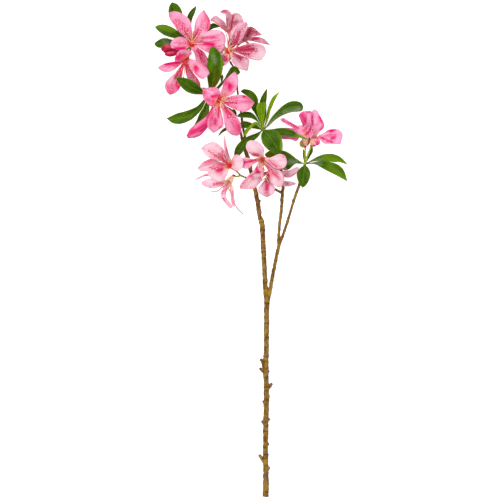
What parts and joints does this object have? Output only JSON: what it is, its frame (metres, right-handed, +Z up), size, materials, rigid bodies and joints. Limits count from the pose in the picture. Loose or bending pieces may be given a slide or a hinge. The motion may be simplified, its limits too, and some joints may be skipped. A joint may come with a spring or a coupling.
{
  "type": "flowering rhododendron branch",
  "caption": "Cut woody azalea branch lying flat: forked stem with leaf whorls, open pink funnel flowers with long stamens, and buds.",
  "frame": {"origin": "centre of the bounding box, on the surface the branch lies on", "axes": "+Y from the cut end of the stem towards the flowers, +X to the right seen from above, +Z up from the surface"},
  "size_m": [0.29, 0.7407, 0.0735],
  "materials": {
    "bark": "rough ringed bark, yellow-brown with dark rings",
    "leaf": "waxy leaf, dark to mid green, soft gloss",
    "young_leaf": "young leaf, yellow-green, soft gloss",
    "petal_pink": "thin petal, rich pink with crimson speckles and paler edges",
    "petal_blush": "thin petal, pale blush pink with crimson streaks",
    "stamen": "crimson filaments",
    "stalk": "smooth green stalk with reddish calyx",
    "bud": "tight crimson buds"
  },
  "bodies": {
    "root": {"woody_stem": "bark", "bract_left": "leaf", "bract_right": "leaf", "bud_pair": "bud", "corolla_01": "petal_pink", "corolla_02": "petal_pink", "corolla_03": "petal_blush", "corolla_04": "petal_blush", "corolla_05": "petal_blush", "corolla_06": "petal_pink", "corolla_07": "petal_blush", "corolla_08": "petal_blush", "corolla_09": "petal_blush", "corolla_10": "petal_blush", "corolla_11": "petal_pink", "corolla_12": "petal_pink", "flower_half_open": "petal_pink", "leaf_left_down": "leaf", "leaf_left_edge": "leaf", "leaf_left_low": "leaf", "leaf_left_out": "leaf", "leaf_left_upright": "leaf", "leaf_mid_curled": "leaf", "leaf_mid_front": "leaf", "leaf_mid_left": "leaf", "leaf_mid_left_high": "leaf", "leaf_mid_low": "leaf", "leaf_mid_rear": "leaf", "leaf_mid_right": "leaf", "leaf_mid_tailed": "leaf", "leaf_mid_young_broad": "young_leaf", "leaf_mid_young_curl": "young_leaf", "leaf_mid_young_narrow": "young_leaf", "leaf_right_broad": "leaf", "leaf_right_down": "leaf", "leaf_right_high": "leaf", "leaf_right_low": "leaf", "leaf_top_left": "leaf", "leaf_top_low": "leaf", "leaf_top_rear": "leaf", "leaf_top_right": "leaf", "leaf_top_small": "leaf", "leaf_twig_short": "leaf", "leaf_twig_thin": "leaf", "stalk_left": "stalk", "stalk_low": "stalk", "stalk_lower_middle": "stalk", "stalk_right": "stalk", "stalk_top": "stalk", "stalk_upper_right": "stalk", "stamens_01": "stamen", "stamens_02": "stamen", "stamens_03": "stamen", "stamens_06": "stamen", "stamens_07": "stamen", "stamens_08": "stamen", "stamens_09": "stamen", "stamens_10": "stamen"}
  },
  "joints": []
}
